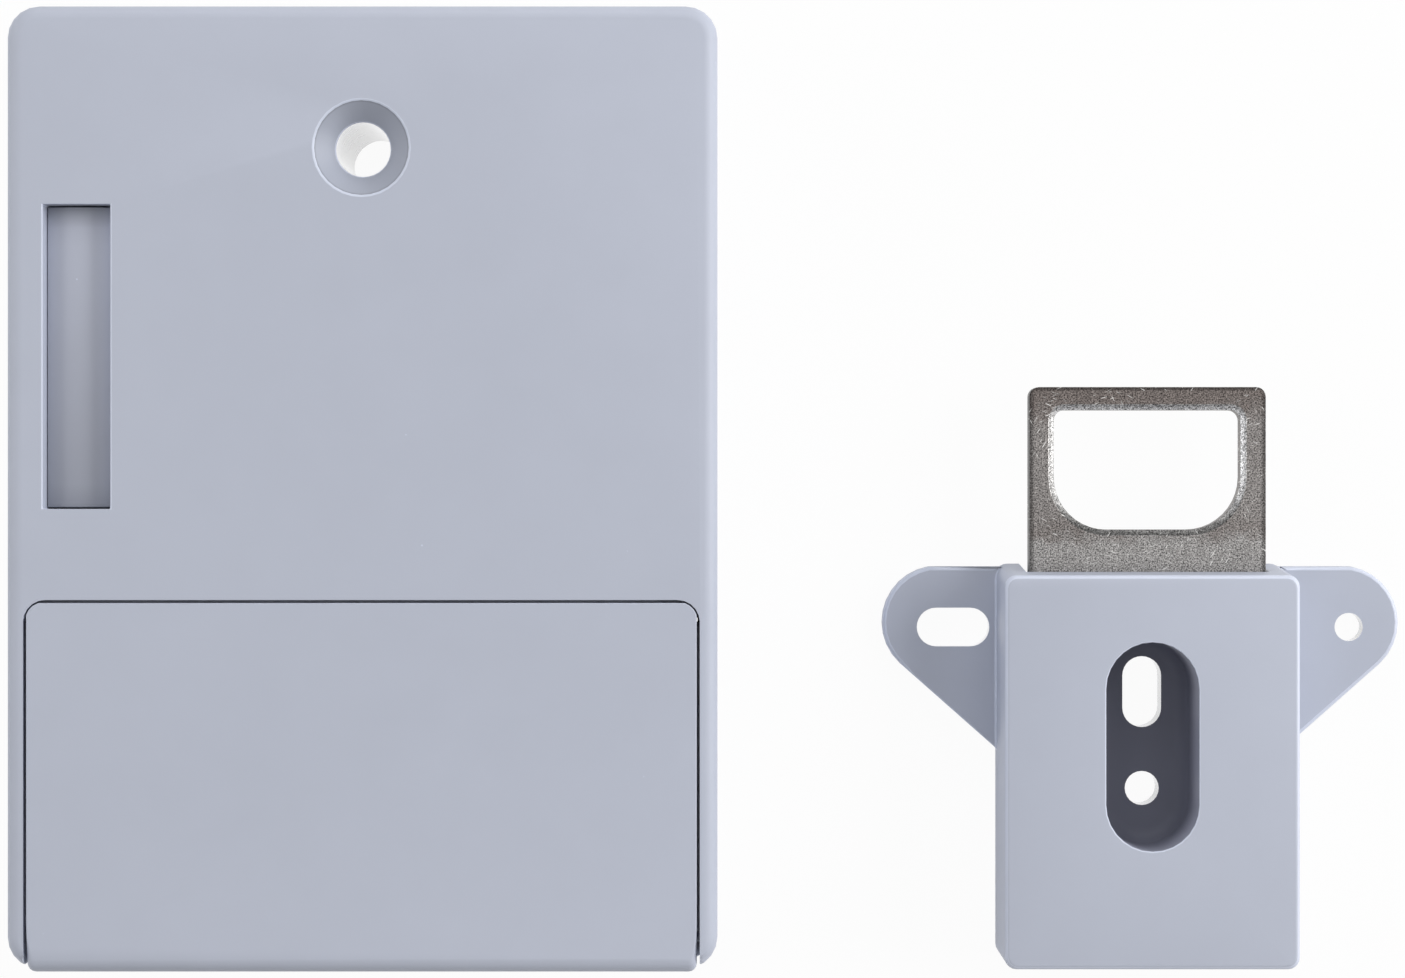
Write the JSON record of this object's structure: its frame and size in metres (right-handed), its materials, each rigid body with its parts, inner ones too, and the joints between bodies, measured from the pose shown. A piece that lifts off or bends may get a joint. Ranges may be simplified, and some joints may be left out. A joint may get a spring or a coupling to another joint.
{
  "type": "hidden cabinet lock",
  "caption": "Battery-powered hidden lock for a cabinet: case with a motor-driven bolt and a slot, and a strike with a steel plate whose window the bolt passes through",
  "frame": {"origin": "bottom centre of the box round both pieces, on their mounting faces", "axes": "+Z out of the mounting face towards the reader of the slot, +X from the case to the strike, +Y from the battery cover to the screw hole"},
  "size_m": [0.1436, 0.098, 0.023],
  "materials": {
    "case_plastic": "fine moulded grain",
    "ejector_plastic": "moulded",
    "plate_steel": "fine grain with light scratches",
    "bolt_steel": "plain",
    "screw_steel": "zinc plated",
    "nickel": "nickel plated",
    "gear_plastic": "natural white",
    "black_plastic": "moulded",
    "board": "solder mask",
    "copper": "enamelled wire",
    "cell_wrap": "plain sleeve"
  },
  "bodies": {
    "lock": {"case": "case_plastic", "back_plate": "case_plastic", "battery_tray": "case_plastic", "mechanism_frame": "ejector_plastic", "bearing_plate": "bolt_steel", "motor_can": "bolt_steel", "first_gear_pin": "bolt_steel", "second_gear_pin": "bolt_steel", "case_screw_upper_left": "screw_steel", "case_screw_upper_right": "screw_steel", "case_screw_lower_left": "screw_steel", "case_screw_lower_right": "screw_steel", "frame_screw_lower": "screw_steel", "frame_screw_upper": "screw_steel", "ejector_spring_lower": "nickel", "ejector_spring_upper": "nickel", "contact_spring_1": "nickel", "contact_spring_2": "nickel", "contact_spring_3": "nickel", "terminal_plate_left": "nickel", "terminal_plate_right": "nickel", "bridge_plate_left": "nickel", "bridge_plate_right": "nickel", "motor_end_cap": "black_plastic", "control_chip": "black_plastic", "buzzer": "black_plastic", "setting_switch": "black_plastic", "circuit_board": "board", "switch_board": "board", "antenna_coil": "copper", "battery_1": "cell_wrap", "battery_2": "cell_wrap", "battery_3": "cell_wrap"},
    "battery_cover_body": {"battery_cover": "case_plastic"},
    "ejector_body": {"ejector": "ejector_plastic"},
    "bolt_body": {"bolt": "bolt_steel"},
    "second_gear_body": {"second_gear": "gear_plastic"},
    "first_gear_body": {"first_gear": "gear_plastic"},
    "motor_pinion_body": {"motor_pinion": "nickel"},
    "setting_button_body": {"setting_button": "gear_plastic"},
    "strike": {"strike_housing": "case_plastic", "strike_plate": "plate_steel", "strike_back_insert": "case_plastic", "strike_screw_left": "screw_steel", "strike_screw_right": "screw_steel"}
  },
  "joints": [
    {"name": "battery_cover_slide", "type": "slide", "parent": "lock", "child": "battery_cover_body", "axis": [0, -1, 0], "range_m": [0, 0.04]},
    {"name": "ejector_press", "type": "slide", "parent": "lock", "child": "ejector_body", "axis": [0, 0, -1], "range_m": [0, 0.0127], "stiffness_N_per_m": 120, "springref_m": -0.004, "deforming": ["ejector_spring_lower", "ejector_spring_upper"]},
    {"name": "second_gear_spin", "type": "hinge", "parent": "lock", "child": "second_gear_body", "pos_m": [-0.04772, 0.00735, 0], "axis": [0, 0, 1], "range_deg": [0, 124]},
    {"name": "bolt_slide", "type": "slide", "parent": "lock", "child": "bolt_body", "axis": [-1, 0, 0], "range_m": [0, 0.0065]},
    {"name": "first_gear_spin", "type": "hinge", "parent": "lock", "child": "first_gear_body", "pos_m": [-0.03866, 0.00405, 0], "axis": [0, 0, 1], "range_deg": [-375, 0]},
    {"name": "motor_spin", "type": "hinge", "parent": "lock", "child": "motor_pinion_body", "pos_m": [-0.02904, 0.00321, 0], "axis": [0, 0, 1], "range_deg": [0, 1120]},
    {"name": "setting_button_press", "type": "slide", "parent": "lock", "child": "setting_button_body", "axis": [0, 0, -1], "range_m": [0, 0.0005], "stiffness_N_per_m": 400, "springref_m": -0.0005},
    {"name": "strike_lift", "type": "slide", "parent": "lock", "child": "strike", "axis": [0, 0, 1], "range_m": [0, 0.03]}
  ],
  "couplings": [
    {"joint": "bolt_slide", "follows": "second_gear_spin", "m_per_rad": 0.003},
    {"joint": "first_gear_spin", "follows": "second_gear_spin", "ratio": -3},
    {"joint": "motor_spin", "follows": "second_gear_spin", "ratio": 9}
  ]
}
